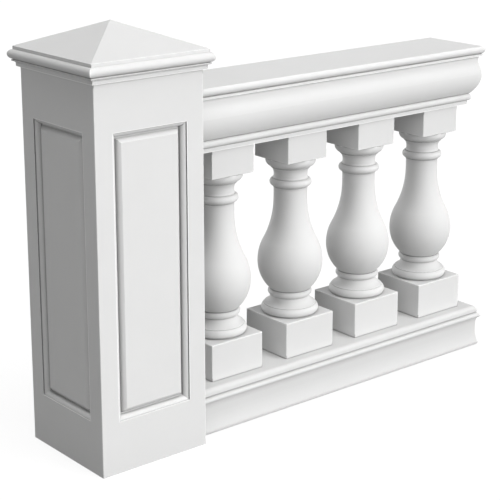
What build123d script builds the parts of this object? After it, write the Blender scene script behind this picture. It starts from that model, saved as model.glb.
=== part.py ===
from build123d import *
import math
import os

# Stone balustrade: a panelled end pier and one bay of vase balusters between a base rail and a coping.
# The origin is the middle of the pier's foot. X runs along the bay, -Y is the front, Z is up.

os.makedirs("parts", exist_ok=True)

# Driving dimensions, in millimetres
PIER_SIDE = 370
SHAFT_HEIGHT = 1140
ARRIS = 1.5

PANEL_WIDTH = 251
PANEL_BOTTOM = 158
PANEL_TOP = 998

CAP_HEIGHT = 136

COPING_TOP = 1067
COPING_BOTTOM = 867
COPING_REACH = 129
COPING_END = 1437

BASE_HEIGHT = 146
BASE_REACH = 150
BASE_END = 1442

BALUSTER_COUNT = 4
FIRST_BALUSTER = 377
BALUSTER_SPACING = 300
PLINTH_SIDE = 200
PLINTH_HEIGHT = 118
ABACUS_SIDE = 162
ABACUS_HEIGHT = 89

PIER_HALF = PIER_SIDE / 2
PLINTH_TOP = BASE_HEIGHT + PLINTH_HEIGHT
ABACUS_BOTTOM = COPING_BOTTOM - ABACUS_HEIGHT


def mitred_block(half_section, width, depth):
    """A block with the same moulded edge on its four sides, mitred at the corners.

    half_section(edge) draws one half of the section, from the middle out to that edge. The section is
    extruded along the block and across it, and the two are intersected."""
    with BuildPart() as block:
        for plane, span in ((Plane.XZ, width), (Plane.YZ, depth)):
            with BuildSketch(plane):
                with BuildLine():
                    half_section(span / 2)
                make_face()
                mirror(about=Plane.YZ)
            mode = Mode.ADD if plane == Plane.XZ else Mode.INTERSECT
            extrude(amount=max(width, depth), both=True, mode=mode)
    return block.part


# Sunk panel: a quirk, an ovolo and a step down to a deep groove, then a rounded rise to the raised field.
# Each INSET is a distance in from the panel's rim, and each DEPTH one below the pier's face.
QUIRK_WIDTH = 2
QUIRK_DEPTH = 3.5
OVOLO_INSET = 13
OVOLO_DEPTH = 17
OVOLO_CROWN = 2
GROOVE_INSET = 18
GROOVE_DEPTH = 20
FIELD_INSET = 31
FIELD_DEPTH = 5.5
FIELD_CROWN = 1.3


def field_section(rim):
    """Half the raised field, standing on the level of the groove."""
    foot = (rim - GROOVE_INSET, -GROOVE_DEPTH)
    edge = (rim - FIELD_INSET, -FIELD_DEPTH)
    crown = ((foot[0] + edge[0]) / 2 + FIELD_CROWN, (foot[1] + edge[1]) / 2 + FIELD_CROWN)
    ThreePointArc(foot, crown, edge)
    base = -GROOVE_DEPTH - 1
    Polyline(edge, (0, -FIELD_DEPTH), (0, base), (foot[0], base), foot)


def sinking_section(rim):
    """Half the sinking down to the level of the groove, with the pier's face at height 0."""
    lip = (rim - QUIRK_WIDTH, -QUIRK_DEPTH)
    step = (rim - OVOLO_INSET, -OVOLO_DEPTH)
    crown = ((lip[0] + step[0]) / 2 - OVOLO_CROWN, (lip[1] + step[1]) / 2 + OVOLO_CROWN)
    ThreePointArc(lip, crown, step)
    Polyline(step, (step[0], -GROOVE_DEPTH), (0, -GROOVE_DEPTH), (0, 1), (rim, 1), (rim, -QUIRK_DEPTH), lip)


# Pier shaft: one squared block with a sunk panel in its front, its outer end and its back
panel_middle = (PANEL_TOP + PANEL_BOTTOM) / 2
panel_planes = [
    Plane(origin=(0, -PIER_HALF, panel_middle), x_dir=(1, 0, 0), z_dir=(0, -1, 0)),
    Plane(origin=(-PIER_HALF, 0, panel_middle), x_dir=(0, -1, 0), z_dir=(-1, 0, 0)),
    Plane(origin=(0, PIER_HALF, panel_middle), x_dir=(-1, 0, 0), z_dir=(0, 1, 0)),
]
sinking = mitred_block(sinking_section, PANEL_WIDTH, PANEL_TOP - PANEL_BOTTOM)
sinking -= mitred_block(field_section, PANEL_WIDTH, PANEL_TOP - PANEL_BOTTOM)

with BuildPart() as pier_shaft:
    with BuildSketch(Plane.XY):
        Rectangle(PIER_SIDE, PIER_SIDE)
    extrude(amount=SHAFT_HEIGHT)
    chamfer(pier_shaft.edges().filter_by(Axis.Z), length=ARRIS)
    with Locations(panel_planes):
        add(sinking, mode=Mode.SUBTRACT)

pier_shaft.part.label = "pier_shaft"
export_step(pier_shaft.part, "parts/pier_shaft.step")


# Pier cap: neck fillet, hollow, band, quirk, torus and eaves under a low pyramid, the same on all four sides.
# Each OUT is a distance out from the pier's face, and each BOTTOM or TOP a height above the shaft.
NECK_OUT = 9
NECK_TOP = 8
BAND_OUT = 18
BAND_BOTTOM = 15
BAND_TOP = 19.5
TORUS_BOTTOM_OUT = 13
TORUS_BOTTOM = 20.5
TORUS_OUT = 27
TORUS_TOP = 48.5
EAVES_OUT = 14.5
EAVES_TOP = 58.5


def cap_section(face):
    """Half the cap's section, for a pier whose face is that far from its middle."""
    neck = Line((face + NECK_OUT, SHAFT_HEIGHT), (face + NECK_OUT, SHAFT_HEIGHT + NECK_TOP))
    hollow = TangentArc(neck @ 1, (face + BAND_OUT, SHAFT_HEIGHT + BAND_BOTTOM), tangent=neck % 1)
    band = Line(hollow @ 1, (face + BAND_OUT, SHAFT_HEIGHT + BAND_TOP))
    quirk = Line(band @ 1, (face + TORUS_BOTTOM_OUT, SHAFT_HEIGHT + TORUS_BOTTOM))
    torus = ThreePointArc(
        quirk @ 1,
        (face + TORUS_OUT, SHAFT_HEIGHT + (TORUS_BOTTOM + TORUS_TOP) / 2),
        (face + EAVES_OUT, SHAFT_HEIGHT + TORUS_TOP),
    )
    eaves = Line(torus @ 1, (face + EAVES_OUT, SHAFT_HEIGHT + EAVES_TOP))
    Polyline(eaves @ 1, (0, SHAFT_HEIGHT + CAP_HEIGHT), (0, SHAFT_HEIGHT), neck @ 0)


pier_cap = mitred_block(cap_section, PIER_SIDE, PIER_SIDE)
pier_cap.label = "pier_cap"
export_step(pier_cap, "parts/pier_cap.step")


def moulded_rail(profile, reach, end, bottom, top):
    """A rail from the pier's side to its free end, with the same moulding on both sides and round that end.

    The cross-section is extruded along the rail and intersected with the end's section extruded across it,
    which mitres the corners. profile(edge) draws the moulding with its furthest point at edge."""
    with BuildPart() as rail:
        with BuildSketch(Plane.YZ.offset(PIER_HALF)):
            with BuildLine():
                head, foot = profile(reach)
                Polyline(foot, (0, bottom), (0, top), head)
            make_face()
            mirror(about=Plane.YZ)
        extrude(amount=end - PIER_HALF)
        with BuildSketch(Plane.XZ):
            with BuildLine():
                head, foot = profile(end)
                Polyline(foot, (PIER_HALF, bottom), (PIER_HALF, top), head)
            make_face()
        extrude(amount=PIER_SIDE, both=True, mode=Mode.INTERSECT)
    return rail.part


# Coping: rounded nosing, quirk, fillet, undercut, broad swelling, quirk, bead and foot fillet.
# Each IN is a distance back from the nosing's edge, and each DOWN one below the coping's top.
NOSING_ROLL = 5
NOSING_FOOT_IN = 7.5
NOSING_FOOT_DOWN = 23
NOSING_QUIRK_IN = 10
NOSING_QUIRK_DOWN = 25
FILLET_IN = 6
FILLET_TOP_DOWN = 26.5
FILLET_FOOT_DOWN = 33
UNDERCUT_IN = 17
UNDERCUT_DOWN = 42
SWELLING_IN = 6
SWELLING_DOWN = 94
SWELLING_FOOT_IN = 34
SWELLING_FOOT_DOWN = 161
COPING_QUIRK_IN = 37
COPING_QUIRK_DOWN = 163
COPING_BEAD_IN = 29
COPING_BEAD_DOWN = 174
COPING_FOOT_IN = 40
COPING_FOOT_DOWN = 186


def coping_profile(edge):
    """Draws the coping's moulding in the current line and returns its head and foot."""
    nosing = ThreePointArc(
        (edge - NOSING_ROLL, COPING_TOP),
        (edge, COPING_TOP - NOSING_FOOT_DOWN / 2),
        (edge - NOSING_FOOT_IN, COPING_TOP - NOSING_FOOT_DOWN),
    )
    fillet = Polyline(
        nosing @ 1,
        (edge - NOSING_QUIRK_IN, COPING_TOP - NOSING_QUIRK_DOWN),
        (edge - FILLET_IN, COPING_TOP - FILLET_TOP_DOWN),
        (edge - FILLET_IN, COPING_TOP - FILLET_FOOT_DOWN),
    )
    undercut = (edge - UNDERCUT_IN, COPING_TOP - UNDERCUT_DOWN)
    TangentArc(undercut, fillet @ 1, tangent=(0, 1))
    widest = (edge - SWELLING_IN, COPING_TOP - SWELLING_DOWN)
    middle = (edge - (UNDERCUT_IN + SWELLING_IN) / 2, COPING_TOP - (UNDERCUT_DOWN + SWELLING_DOWN) / 2)
    TangentArc(undercut, middle, tangent=(0, -1))
    TangentArc(widest, middle, tangent=(0, 1))
    swelling_foot = TangentArc(widest, (edge - SWELLING_FOOT_IN, COPING_TOP - SWELLING_FOOT_DOWN), tangent=(0, -1))
    quirk = Line(swelling_foot @ 1, (edge - COPING_QUIRK_IN, COPING_TOP - COPING_QUIRK_DOWN))
    bead = ThreePointArc(
        quirk @ 1,
        (edge - COPING_BEAD_IN, COPING_TOP - COPING_BEAD_DOWN),
        (edge - COPING_FOOT_IN, COPING_TOP - COPING_FOOT_DOWN),
    )
    foot_face = Line(bead @ 1, (edge - COPING_FOOT_IN, COPING_BOTTOM))
    return nosing @ 0, foot_face @ 1


coping_part = moulded_rail(coping_profile, COPING_REACH, COPING_END, COPING_BOTTOM, COPING_TOP)
coping_part.label = "coping"
export_step(coping_part, "parts/coping.step")


# Base rail: rounded shoulder, deep quirk, bead, and a hollow face that spreads to a rolled foot.
# Each IN is a distance back from the bead's edge, and each DOWN one below the rail's top.
SHOULDER_ROLL = 14
SHOULDER_IN = 9
SHOULDER_FOOT_DOWN = 21.5
BASE_QUIRK_IN = 13
BASE_QUIRK_DOWN = 24
BASE_BEAD_IN = 7
BASE_BEAD_TOP_DOWN = 26
BASE_BEAD_FOOT_DOWN = 42
FACE_IN = 11.5
FACE_HEAD_DOWN = 60
FACE_BEND_DOWN = 82
FLARE_IN = 4
FLARE_DOWN = 130
FOOT_IN = 13


def base_profile(edge):
    """Draws the base rail's moulding in the current line and returns its head and foot."""
    shoulder_top = (edge - SHOULDER_IN - SHOULDER_ROLL, BASE_HEIGHT)
    drop = Polyline(
        (edge - SHOULDER_IN, BASE_HEIGHT - SHOULDER_ROLL),
        (edge - SHOULDER_IN, BASE_HEIGHT - SHOULDER_FOOT_DOWN),
        (edge - BASE_QUIRK_IN, BASE_HEIGHT - BASE_QUIRK_DOWN),
        (edge - BASE_BEAD_IN, BASE_HEIGHT - BASE_BEAD_TOP_DOWN),
    )
    TangentArc(drop @ 0, shoulder_top, tangent=(0, 1))
    bead = ThreePointArc(
        drop @ 1,
        (edge, BASE_HEIGHT - (BASE_BEAD_TOP_DOWN + BASE_BEAD_FOOT_DOWN) / 2),
        (edge - BASE_BEAD_IN, BASE_HEIGHT - BASE_BEAD_FOOT_DOWN),
    )
    face = Line((edge - FACE_IN, BASE_HEIGHT - FACE_HEAD_DOWN), (edge - FACE_IN, BASE_HEIGHT - FACE_BEND_DOWN))
    TangentArc(face @ 0, bead @ 1, tangent=(0, 1))
    flare = TangentArc(face @ 1, (edge - FLARE_IN, BASE_HEIGHT - FLARE_DOWN), tangent=(0, -1))
    foot = TangentArc(flare @ 1, (edge - FOOT_IN, 0), tangent=flare % 1)
    return shoulder_top, foot @ 1


base_part = moulded_rail(base_profile, BASE_REACH, BASE_END, 0, BASE_HEIGHT)
base_part.label = "base_rail"
export_step(base_part, "parts/base_rail.step")


# Baluster: a square plinth block, a turned vase and a square abacus, set one on the other.
# Vase heights are above its plinth, from the foot torus up to the bell under the abacus.
FOOT_RADIUS = 95.5
FOOT_NARROW = 86.5
FOOT_HEIGHT = 28.5
STEP_RADIUS = 82.5
HOLLOW_RADIUS = 69
HOLLOW_HEIGHT = 40
WAIST_RADIUS = 63
WAIST_BOTTOM = 53
WAIST_TOP = 60
BEAD_RADIUS = 71.2
BEAD_TOP_RADIUS = 67
BEAD_TOP = 80
BELLY_RADIUS = 105
BELLY_HEIGHT = 172
UPPER_BELLY_BEND = 150
NECK_RADIUS = 54
NECK_HEIGHT = 380
NECK_TOP_HEIGHT = 408
COLLAR_RADIUS = 68
COLLAR_EDGE = 58.5
COLLAR_BOTTOM = 420
COLLAR_TOP = 442
UPPER_NECK_BOTTOM = 452
UPPER_NECK_TOP = 462
FLARE_RADIUS = 60
FLARE_TOP = 475
BELL_EDGE = 63.5
BELL_BOTTOM = 477.5
BELL_RADIUS = 80
BELL_TOP = 506

# The upper belly and the long hollow shoulder are two tangent arcs that turn by the same angle.
belly_fall = BELLY_RADIUS - NECK_RADIUS
shoulder_rise = NECK_HEIGHT - BELLY_HEIGHT
both_bends = (belly_fall**2 + shoulder_rise**2) / (2 * belly_fall)
shoulder_turn = math.asin(shoulder_rise / both_bends)
shoulder_radius = BELLY_RADIUS - UPPER_BELLY_BEND * (1 - math.cos(shoulder_turn))
shoulder_height = BELLY_HEIGHT + UPPER_BELLY_BEND * math.sin(shoulder_turn)


def turned_vase(centre):
    """The vase, its outline revolved about the baluster's upright axis."""
    axis_plane = Plane(origin=(centre, 0, PLINTH_TOP), x_dir=(1, 0, 0), z_dir=(0, -1, 0))
    top = ABACUS_BOTTOM - PLINTH_TOP
    with BuildPart() as vase:
        with BuildSketch(axis_plane):
            with BuildLine():
                foot = ThreePointArc((FOOT_NARROW, 0), (FOOT_RADIUS, FOOT_HEIGHT / 2), (FOOT_NARROW, FOOT_HEIGHT))
                waist = Line((WAIST_RADIUS, WAIST_BOTTOM), (WAIST_RADIUS, WAIST_TOP))
                hollow = TangentArc(waist @ 0, (HOLLOW_RADIUS, HOLLOW_HEIGHT), tangent=(0, -1))
                Polyline(foot @ 1, (STEP_RADIUS, FOOT_HEIGHT), hollow @ 1)
                bead = ThreePointArc(
                    waist @ 1,
                    (BEAD_RADIUS, (WAIST_TOP + BEAD_TOP) / 2),
                    (BEAD_TOP_RADIUS, BEAD_TOP),
                )
                widest = (BELLY_RADIUS, BELLY_HEIGHT)
                TangentArc(widest, bead @ 1, tangent=(0, -1))
                belly = TangentArc(widest, (shoulder_radius, shoulder_height), tangent=(0, 1))
                shoulder = TangentArc(belly @ 1, (NECK_RADIUS, NECK_HEIGHT), tangent=belly % 1)
                neck = Line(shoulder @ 1, (NECK_RADIUS, NECK_TOP_HEIGHT))
                collar_foot = TangentArc(neck @ 1, (COLLAR_EDGE, COLLAR_BOTTOM), tangent=(0, 1))
                collar = ThreePointArc(
                    collar_foot @ 1,
                    (COLLAR_RADIUS, (COLLAR_BOTTOM + COLLAR_TOP) / 2),
                    (COLLAR_EDGE, COLLAR_TOP),
                )
                upper_neck = Line((NECK_RADIUS, UPPER_NECK_BOTTOM), (NECK_RADIUS, UPPER_NECK_TOP))
                TangentArc(upper_neck @ 0, collar @ 1, tangent=(0, -1))
                flare = TangentArc(upper_neck @ 1, (FLARE_RADIUS, FLARE_TOP), tangent=(0, 1))
                ledge = Line(flare @ 1, (BELL_EDGE, BELL_BOTTOM))
                bell = TangentArc((BELL_RADIUS, BELL_TOP), ledge @ 1, tangent=(0, -1))
                Polyline(bell @ 0, (BELL_RADIUS, top), (0, top), (0, 0), foot @ 0)
            make_face()
        revolve(axis=Axis((centre, 0, 0), (0, 0, 1)))
    return vase.part


def squared_block(centre, side, bottom, height):
    """A square block on the baluster's axis, with all its arrises eased."""
    with BuildPart() as block:
        with BuildSketch(Plane.XY.offset(bottom)):
            with Locations((centre, 0)):
                Rectangle(side, side)
        extrude(amount=height)
        chamfer(block.edges(), length=ARRIS)
    return block.part


for index in range(BALUSTER_COUNT):
    centre = FIRST_BALUSTER + index * BALUSTER_SPACING
    stones = {
        "plinth": squared_block(centre, PLINTH_SIDE, BASE_HEIGHT, PLINTH_HEIGHT),
        "vase": turned_vase(centre),
        "abacus": squared_block(centre, ABACUS_SIDE, ABACUS_BOTTOM, ABACUS_HEIGHT),
    }
    for stone, part in stones.items():
        part.label = f"baluster_{index + 1}_{stone}"
        export_step(part, f"parts/{part.label}.step")
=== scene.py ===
import math

import bpy
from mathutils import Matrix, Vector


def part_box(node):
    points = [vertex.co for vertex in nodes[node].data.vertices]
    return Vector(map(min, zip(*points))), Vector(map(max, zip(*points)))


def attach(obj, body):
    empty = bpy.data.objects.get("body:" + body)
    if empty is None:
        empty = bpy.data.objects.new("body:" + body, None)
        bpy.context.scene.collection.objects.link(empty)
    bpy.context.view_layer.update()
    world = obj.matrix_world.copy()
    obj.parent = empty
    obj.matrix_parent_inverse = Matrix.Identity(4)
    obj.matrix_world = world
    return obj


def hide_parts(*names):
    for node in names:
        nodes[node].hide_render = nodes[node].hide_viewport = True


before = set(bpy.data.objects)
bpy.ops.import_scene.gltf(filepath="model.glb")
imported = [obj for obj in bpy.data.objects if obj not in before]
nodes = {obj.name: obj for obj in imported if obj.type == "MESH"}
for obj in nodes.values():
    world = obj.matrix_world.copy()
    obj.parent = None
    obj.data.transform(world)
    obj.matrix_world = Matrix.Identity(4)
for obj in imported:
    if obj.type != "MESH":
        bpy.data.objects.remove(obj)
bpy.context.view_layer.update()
scene = bpy.context.scene
scene.view_settings.view_transform = "Standard"


# Viewpoint: a standing eye in front of the pier's outer corner, looking along the bay
# and a little down, so that the pier's front and outer end and all four balusters show.
EYE = (-2.3062, -3.3986, 1.8676)
EYE_HEADING = 50.358
EYE_DIP = 14.481
LENS = 105.50
RISE = -0.140
FARTHEST_SEEN = 200

camera = bpy.data.objects.new("viewpoint", bpy.data.cameras.new("viewpoint"))
camera.location = EYE
camera.rotation_euler = (math.radians(90 - EYE_DIP), 0, math.radians(EYE_HEADING - 90))
camera.data.lens = LENS
camera.data.shift_y = RISE
camera.data.clip_end = FARTHEST_SEEN
scene.collection.objects.link(camera)
scene.camera = camera


# Pier: one tall squared block of pale, fine-grained limestone with sunk panels, sawn and rubbed
# smooth, under a cap worked from a second block. The cap is bedded on the shaft and held by its
# own weight.
CLEAN_STONE = (0.55, 0.55, 0.548)
# Paler stone laid on arrises, partly as wear and partly as a painted highlight, and on moulding
# crests as a painted highlight.
WEAR_AND_HIGHLIGHT_STONE = (0.95, 0.95, 0.946, 1)
# Dark grey laid into creases, quirks and joints as painted shade.
PAINTED_SHADE_GREY = (0.15, 0.15, 0.149, 1)

# The stone's own pattern: sizes are in features a metre, and shares are of its brightness.
CLOUDS = {"Scale": 6, "Detail": 8, "Roughness": 0.62}
GRAIN = {"Scale": 420, "Detail": 3}
PITS = {"Scale": 160}
CLOUD_SHARE = 0.03
GRAIN_SHARE = 0.02
GLOSS = 0.2
DULLNESS = (0.78, 0.94)
PIT_RIM = 0.22
PIT_SHARE = 0.6
EASED_ARRIS = 0.0007
EASED_LOOKS = 6
RELIEF = 0.18
RELIEF_DEPTH = 0.0004

# Wear with painted highlights, and painted shade: how far away an arris, a crease or a crest is
# felt, in metres, from how many looks round each point, and the limits between which a turn of
# the surface, an opening, a thickness or an upward look begins to count and counts in full.
ARRIS_REACH = 0.005
CREASE_REACH = 0.014
CREST_REACH = 0.012
ARRIS_LOOKS = 8
CREASE_LOOKS = 14
CREST_LOOKS = 8
ARRIS_TURN = (0.965, 0.84)
CREASE_TURN = (0.993, 0.93)
OPEN_PLACE = (0.93, 1)
CLOSED_PLACE = (0.99, 0.90)
DEEP_PLACE = (0.80, 0.25)
THIN_CREST = (0.72, 0.40)
LOOKING_UP = (0.08, 0.35)
# Shares laid on: arrises partly wear and partly painted highlight, crests painted highlight, deep
# places painted shade.
ARRIS_WEAR_AND_HIGHLIGHT = 0.95
CREST_HIGHLIGHT = 0.2
DEEP_SHADE = 0.4

# Heights above the ground between which the painted shade in creases fades out towards the
# ground, the foot turns darker, and the lowest arris gets painted light.
SHADE_FADE_HEIGHTS = (0.005, 0.03)
FOOT_DARKENING_HEIGHTS = (0, 0.11)
PAINTED_ARRIS_LIGHT_HEIGHTS = (0.010, 0.001)


def add_node(tree, kind, inputs=None, **settings):
    """Adds a shader node. Each of its inputs is a plain value or another node's output."""
    made = tree.nodes.new(kind)
    for name, value in settings.items():
        setattr(made, name, value)
    for name, value in (inputs or {}).items():
        if isinstance(value, bpy.types.NodeSocket):
            tree.links.new(value, made.inputs[name])
        else:
            made.inputs[name].default_value = value
    return made


def spread(tree, value, between, over=(0, 1)):
    """Spreads what lies between two limits over a range, and holds it at the range's ends."""
    limits = {"From Min": between[0], "From Max": between[1], "To Min": over[0], "To Max": over[1]}
    return add_node(tree, "ShaderNodeMapRange", {"Value": value, **limits}).outputs["Result"]


def together(tree, operation, first, second):
    """Takes two values together: MULTIPLY where both must hold, MAXIMUM where the stronger wins."""
    return add_node(tree, "ShaderNodeMath", {0: first, 1: second}, operation=operation).outputs[0]


def laid_over(tree, colour, share, coat):
    """Lays a share of a second colour over the first."""
    layers = {"Factor": share, "A": colour, "B": coat}
    return add_node(tree, "ShaderNodeMix", layers, data_type="RGBA").outputs["Result"]


def shaded(tree, colour, share):
    """Makes a colour darker or paler by a share of its brightness."""
    layers = {0: colour, "Scale": share}
    return add_node(tree, "ShaderNodeVectorMath", layers, operation="SCALE").outputs[0]


def eased_facing(tree, reach, looks):
    """The way the surface faces where its edges are rounded off as far in as the reach."""
    return add_node(tree, "ShaderNodeBevel", {"Radius": reach}, samples=looks).outputs["Normal"]


def openness(tree, reach, looks, **side):
    """How open the space round each point is, out to the reach, from 0 in a closed crack to 1."""
    seen = add_node(tree, "ShaderNodeAmbientOcclusion", {"Distance": reach}, samples=looks, **side)
    return seen.outputs["AO"]


def height_above_ground(tree):
    """Each point's height above the ground, in metres."""
    place = add_node(tree, "ShaderNodeNewGeometry").outputs["Position"]
    return add_node(tree, "ShaderNodeSeparateXYZ", {0: place}).outputs["Z"]


def clean_stone(tree, tone, cloud, grain):
    """The bare stone's colour, with faint clouds and a fine grain."""
    dark, light = (
        [part * (1 + tone + cloud_share) for part in CLEAN_STONE] + [1]
        for cloud_share in (-CLOUD_SHARE, CLOUD_SHARE)
    )
    clouded = laid_over(tree, dark, cloud, light)
    return shaded(tree, clouded, spread(tree, grain, (0, 1), (1 - GRAIN_SHARE, 1 + GRAIN_SHARE)))


def wear_and_painted_shading(tree, colour, crease_shade_strength, upward_shade_loss):
    """Arrises are laid paler, partly as wear and partly as a painted highlight, and the crests of
    the mouldings get a painted highlight. Painted shade darkens every inner crease, less where it
    faces up, and the deep quirks and joints."""
    rounded = eased_facing(tree, ARRIS_REACH, ARRIS_LOOKS)
    both = {0: rounded, 1: add_node(tree, "ShaderNodeNewGeometry").outputs["Normal"]}
    turn = add_node(tree, "ShaderNodeVectorMath", both, operation="DOT_PRODUCT").outputs["Value"]
    opening = openness(tree, CREASE_REACH, CREASE_LOOKS)
    thickness = openness(tree, CREST_REACH, CREST_LOOKS, inside=True, only_local=True)

    open_place = spread(tree, opening, OPEN_PLACE)
    arris_wear_and_highlight = spread(tree, turn, ARRIS_TURN, (0, ARRIS_WEAR_AND_HIGHLIGHT))
    crest_highlight = spread(tree, thickness, THIN_CREST, (0, CREST_HIGHLIGHT))
    wear_and_highlight = together(tree, "MULTIPLY", together(tree, "MAXIMUM", arris_wear_and_highlight, crest_highlight), open_place)
    # Painted highlight on arrises and moulding crests, on the arrises partly as wear.
    worn_and_highlit = laid_over(tree, colour, wear_and_highlight, WEAR_AND_HIGHLIGHT_STONE)

    # Painted shade in inner creases, weaker where they face up, and in deep quirks and joints,
    # fading out near the ground.
    painted_crease_shade = spread(tree, turn, CREASE_TURN, (0, crease_shade_strength))
    painted_crease_shade = together(tree, "MULTIPLY", painted_crease_shade, spread(tree, opening, CLOSED_PLACE))
    upward = add_node(tree, "ShaderNodeSeparateXYZ", {0: rounded}).outputs["Z"]
    shade_by_facing = spread(tree, upward, LOOKING_UP, (1, 1 - upward_shade_loss))
    painted_crease_shade = together(tree, "MULTIPLY", painted_crease_shade, shade_by_facing)
    painted_shade = together(tree, "MAXIMUM", painted_crease_shade, spread(tree, opening, DEEP_PLACE, (0, DEEP_SHADE)))
    shade_above_ground = spread(tree, height_above_ground(tree), SHADE_FADE_HEIGHTS)
    return laid_over(tree, worn_and_highlit, together(tree, "MULTIPLY", painted_shade, shade_above_ground), PAINTED_SHADE_GREY)


def darker_foot_painted_arris_light(tree, colour, foot_darkening, painted_arris_light):
    """Makes a block darker towards its foot, and paints light on an arris that stands on the
    ground.
    """
    height = height_above_ground(tree)
    darker_foot = spread(tree, height, FOOT_DARKENING_HEIGHTS, (1 - foot_darkening, 1))
    # Painted light: the arris that stands on the ground is made paler.
    arris_light = spread(tree, height, PAINTED_ARRIS_LIGHT_HEIGHTS, (1, 1 + painted_arris_light))
    return shaded(tree, colour, together(tree, "MULTIPLY", darker_foot, arris_light))


def rubbed_surface(tree, grain, pits):
    """A rubbed face with fine grain and small pits, whose arrises are slightly eased."""
    pitted = spread(tree, pits, (0, PIT_RIM))
    depths = {0: pitted, 1: PIT_SHARE, 2: grain}
    surface = add_node(tree, "ShaderNodeMath", depths, operation="MULTIPLY_ADD").outputs[0]
    eased = eased_facing(tree, EASED_ARRIS, EASED_LOOKS)
    relief = {"Strength": RELIEF, "Distance": RELIEF_DEPTH, "Height": surface, "Normal": eased}
    return add_node(tree, "ShaderNodeBump", relief).outputs["Normal"]


def limestone(name, bed, tone, crease_shade_strength=0.95, upward_shade_loss=0.85, foot_darkening=0, painted_arris_light=0):
    """Rubbed limestone cut from its own place in the bed, a little lighter or darker than
    the next block."""
    material = bpy.data.materials.new(name)
    material.use_nodes = True
    tree = material.node_tree
    here = {0: add_node(tree, "ShaderNodeTexCoord").outputs["Object"], 1: bed}
    place = {"Vector": add_node(tree, "ShaderNodeVectorMath", here, operation="ADD").outputs[0]}
    cloud = add_node(tree, "ShaderNodeTexNoise", {**place, **CLOUDS}).outputs["Fac"]
    grain = add_node(tree, "ShaderNodeTexNoise", {**place, **GRAIN}).outputs["Fac"]
    pits = add_node(tree, "ShaderNodeTexVoronoi", {**place, **PITS}).outputs["Distance"]

    colour = clean_stone(tree, tone, cloud, grain)
    # Wear with painted highlights and painted shade, then a darker foot with painted light on the
    # lowest arris.
    colour = wear_and_painted_shading(tree, colour, crease_shade_strength, upward_shade_loss)
    colour = darker_foot_painted_arris_light(tree, colour, foot_darkening, painted_arris_light)
    shader = tree.nodes["Principled BSDF"]
    shader.inputs["Specular IOR Level"].default_value = GLOSS
    tree.links.new(colour, shader.inputs["Base Color"])
    tree.links.new(spread(tree, cloud, (0, 1), DULLNESS), shader.inputs["Roughness"])
    tree.links.new(rubbed_surface(tree, grain, pits), shader.inputs["Normal"])
    return material


def face_with(node_name, material):
    """Gives a stone its material."""
    mesh = nodes[node_name].data
    mesh.materials.clear()
    mesh.materials.append(material)


SHAFT_BED = (0, 0, 0)
SHAFT_TONE = 0.008
SHAFT_FOOT_DARKENING = 0.02
CAP_BED = (3.1, 1.7, 4.4)
CAP_TONE = 0

shaft_stone = limestone("pier_shaft_limestone", SHAFT_BED, SHAFT_TONE, foot_darkening=SHAFT_FOOT_DARKENING)
face_with("pier_shaft", shaft_stone)
face_with("pier_cap", limestone("pier_cap_limestone", CAP_BED, CAP_TONE))


# Coping and base rail: long moulded limestone blocks, run off by hand to the same section on both
# sides and returned round the free end, bedded on the balusters and on the footing.
# The coping is a shade paler and the base rail a shade darker, partly as stone from other beds and
# partly as painted light and painted shade for how brightly each is lit.
COPING_BED = (7.3, 2.9, 0.8)
COPING_TONE = 0.035
BASE_BED = (1.9, 8.2, 5.1)
BASE_TONE = -0.04
# The base rail has weaker painted shade in its creases and painted light on its lowest arris.
BASE_PAINTED_SHADING = {"crease_shade_strength": 0.5, "painted_arris_light": 0.55}

face_with("coping", limestone("coping_limestone", COPING_BED, COPING_TONE))
face_with("base_rail", limestone("base_rail_limestone", BASE_BED, BASE_TONE, **BASE_PAINTED_SHADING))


# Balusters: each is a square plinth, a vase turned on the lathe and a square abacus, all of the
# same limestone, stacked on a hidden dowel. The vase has its fine quirks and fillets cut crisply.
BALUSTER_TONES = (0.005, -0.005, 0.01, 0)
# The vases are a shade paler than the other stones, partly as stone from another bed and partly as
# painted light on their rounded bellies.
VASE_TONE = 0.015
NEXT_BALUSTER_IN_BED = (2.3, 0, 1.1)
NEXT_STONE_IN_BED = (0.7, 5.5, 0)
# How much of the painted shade in the vases' creases is taken off where they face up.
VASE_UPWARD_SHADE_LOSS = 0.2
VASE_SIDES = 120
ARC_STEPS = 18
SHARPEST_SMOOTH_TURN = 28
FOOT_EDGE = (0.0845, 0)
ABACUS_SEAT = 0.0805
# The vase's outline above its foot edge, as (radius, height) in metres. A pair of points is an arc
# through the first to the second, and a single point is the end of a straight cut.
VASE_CUTS = (
    ((0.0925, 0.014), (0.0850, 0.0275)),
    ((0.0842, 0.0280),),
    ((0.0838, 0.0300),),
    ((0.0824, 0.0307),),
    ((0.0695, 0.040), (0.0635, 0.053)),
    ((0.0635, 0.0575),),
    ((0.0645, 0.0583),),
    ((0.0713, 0.068), (0.066, 0.0785)),
    ((0.0648, 0.0795),),
    ((0.0665, 0.081),),
    ((0.0951, 0.1223), (0.105, 0.172)),
    ((0.1007, 0.2077), (0.088, 0.2414)),
    ((0.0626, 0.3087), (0.054, 0.380)),
    ((0.054, 0.409),),
    ((0.0547, 0.4155), (0.0568, 0.4203)),
    ((0.0561, 0.4212),),
    ((0.067, 0.434), (0.0566, 0.4466)),
    ((0.0560, 0.4472),),
    ((0.0572, 0.4480),),
    ((0.0550, 0.4512), (0.054, 0.457)),
    ((0.054, 0.461),),
    ((0.0566, 0.4740), (0.0632, 0.4828)),
    ((0.0640, 0.4832),),
    ((0.0644, 0.4862),),
    ((0.0654, 0.4870),),
    ((0.0765, 0.4945), (0.0805, 0.506)),
)


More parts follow.
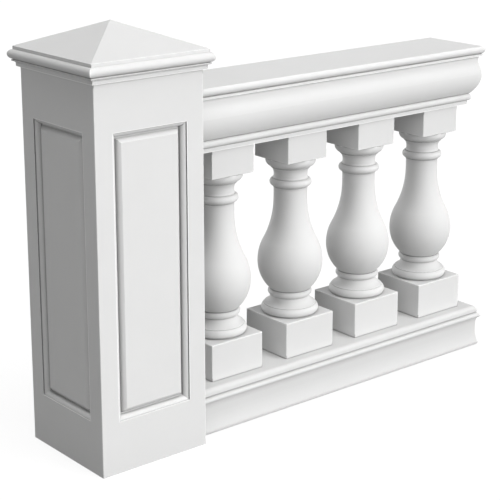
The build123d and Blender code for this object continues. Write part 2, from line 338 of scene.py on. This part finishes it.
def arc_points(start, through, end):
    """Points of the arc from start through a middle point to end, without its start."""
    (ax, ay), (bx, by), (cx, cy) = start, through, end
    twice_area = 2 * (ax * (by - cy) + bx * (cy - ay) + cx * (ay - by))
    a, b, c = ax * ax + ay * ay, bx * bx + by * by, cx * cx + cy * cy
    middle_x = (a * (by - cy) + b * (cy - ay) + c * (ay - by)) / twice_area
    middle_y = (a * (cx - bx) + b * (ax - cx) + c * (bx - ax)) / twice_area
    radius = math.dist((middle_x, middle_y), start)
    begin = math.atan2(ay - middle_y, ax - middle_x)
    sweep = math.remainder(math.atan2(cy - middle_y, cx - middle_x) - begin, 2 * math.pi)
    points = []
    for step in range(1, ARC_STEPS):
        angle = begin + sweep * step / ARC_STEPS
        points.append((middle_x + radius * math.cos(angle), middle_y + radius * math.sin(angle)))
    return points + [end]


def turned_vase(name, centre, bottom, height):
    """A vase turned about its upright axis, flat underneath and on its seat."""
    outline = [FOOT_EDGE]
    for cut in VASE_CUTS:
        outline += arc_points(outline[-1], *cut) if len(cut) == 2 else list(cut)
    outline.append((ABACUS_SEAT, height))
    points = []
    for radius, level in outline:
        for side in range(VASE_SIDES):
            turn = 2 * math.pi * side / VASE_SIDES
            across = centre[0] + radius * math.cos(turn)
            along = centre[1] + radius * math.sin(turn)
            points.append((across, along, bottom + level))
    underside = tuple(reversed(range(VASE_SIDES)))
    seat = tuple(range(len(points) - VASE_SIDES, len(points)))
    faces = [underside, seat]
    for ring in range(len(outline) - 1):
        for side in range(VASE_SIDES):
            low, next_low = ring * VASE_SIDES + side, ring * VASE_SIDES + (side + 1) % VASE_SIDES
            faces.append((low, next_low, next_low + VASE_SIDES, low + VASE_SIDES))
    mesh = bpy.data.meshes.new(name)
    mesh.from_pydata(points, [], faces)
    mesh.shade_smooth()
    mesh.set_sharp_from_angle(angle=math.radians(SHARPEST_SMOOTH_TURN))
    vase = bpy.data.objects.new(name, mesh)
    scene.collection.objects.link(vase)
    return vase


for index, tone in enumerate(BALUSTER_TONES):
    for place, stone in enumerate(("plinth", "vase", "abacus")):
        block = f"baluster_{index + 1}_{stone}"
        steps = zip(NEXT_BALUSTER_IN_BED, NEXT_STONE_IN_BED)
        bed = tuple(along * index + up * place for along, up in steps)
        if stone == "vase":
            low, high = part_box(block)
            centre = ((low[0] + high[0]) / 2, (low[1] + high[1]) / 2)
            vase = turned_vase(f"turned_vase_{index + 1}", centre, low[2], high[2] - low[2])
            vase_shading = {"tone": tone + VASE_TONE, "upward_shade_loss": VASE_UPWARD_SHADE_LOSS}
            vase.data.materials.append(limestone(f"{block}_limestone", bed, **vase_shading))
            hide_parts(block)
            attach(vase, "root")
        else:
            face_with(block, limestone(f"{block}_limestone", bed, tone))


# Floor: a wide pale matt floor, poured and trowelled flat, on which the stones stand.
# It goes to plain white away from them and keeps only their soft shadow.
FLOOR_HALF = 30
FLOOR_GREY = (0.18, 0.18, 0.18, 1)
SHADOW_GREY = (0.9, 0.9, 0.9, 1)
SHADOW_SHARE = 0.18
FLOOR_GLOW = 1.03

floor_mesh = bpy.data.meshes.new("floor")
corners = [(x * FLOOR_HALF, y * FLOOR_HALF, 0) for x, y in ((-1, -1), (1, -1), (1, 1), (-1, 1))]
floor_mesh.from_pydata(corners, [], [(0, 1, 2, 3)])
floor = bpy.data.objects.new("floor", floor_mesh)
scene.collection.objects.link(floor)


def lit_and_seen(tree, lighting, seen):
    """Lights the stones by the first shader, and shows the second to the eye, also in a reflection
    or through something clear."""
    path = add_node(tree, "ShaderNodeLightPath").outputs
    looked_at = together(tree, "MAXIMUM", path["Is Camera Ray"], path["Is Glossy Ray"])
    looked_at = together(tree, "MAXIMUM", looked_at, path["Is Transmission Ray"])
    return add_node(tree, "ShaderNodeMixShader", {0: looked_at, 1: lighting, 2: seen}).outputs[0]


trowelled = bpy.data.materials.new("pale_trowelled_floor")
trowelled.use_nodes = True
tree = trowelled.node_tree
tree.nodes.clear()
matt = add_node(tree, "ShaderNodeBsdfDiffuse", {"Color": FLOOR_GREY}).outputs[0]
shadow = add_node(tree, "ShaderNodeBsdfDiffuse", {"Color": SHADOW_GREY}).outputs[0]
white = add_node(tree, "ShaderNodeEmission", {"Strength": FLOOR_GLOW}).outputs[0]
faint_shadow = {0: 1 - SHADOW_SHARE, 1: shadow, 2: white}
seen_floor = add_node(tree, "ShaderNodeMixShader", faint_shadow).outputs[0]
add_node(tree, "ShaderNodeOutputMaterial", {"Surface": lit_and_seen(tree, matt, seen_floor)})
floor_mesh.materials.append(trowelled)


# Studio light: two broad softboxes low in front on the right, soft light from overhead, a faint
# fill on the left and one softbox low behind. The backdrop is plain white.
# Each has its azimuth (0 in front, 90 on the right), its height and its strength.
SOFTBOXES = {
    "front_softbox": (20, 12, 2.45),
    "right_softbox": (40, 12, 1.74),
    "high_softbox": (0, 68, 1.38),
    "overhead_softbox": (0, 90, 0.90),
    "left_fill": (-62, 12, 1.10),
    "back_softbox": (180, 12, 2.66),
}
SOFTNESS = 40
UNLIT = (0, 0, 0, 1)
PLAIN_WHITE = (1, 1, 1, 1)

for name, (azimuth, height, strength) in SOFTBOXES.items():
    lamp = bpy.data.lights.new(name, "SUN")
    lamp.energy = strength
    lamp.angle = math.radians(SOFTNESS)
    softbox = bpy.data.objects.new(name, lamp)
    softbox.rotation_euler = (math.radians(90 - height), 0, math.radians(azimuth))
    scene.collection.objects.link(softbox)

studio = bpy.data.worlds.new("studio")
scene.world = studio
studio.use_nodes = True
tree = studio.node_tree
tree.nodes.clear()
unlit = add_node(tree, "ShaderNodeBackground", {"Color": UNLIT}).outputs[0]
backdrop = add_node(tree, "ShaderNodeBackground", {"Color": PLAIN_WHITE}).outputs[0]
add_node(tree, "ShaderNodeOutputWorld", {"Surface": lit_and_seen(tree, unlit, backdrop)})
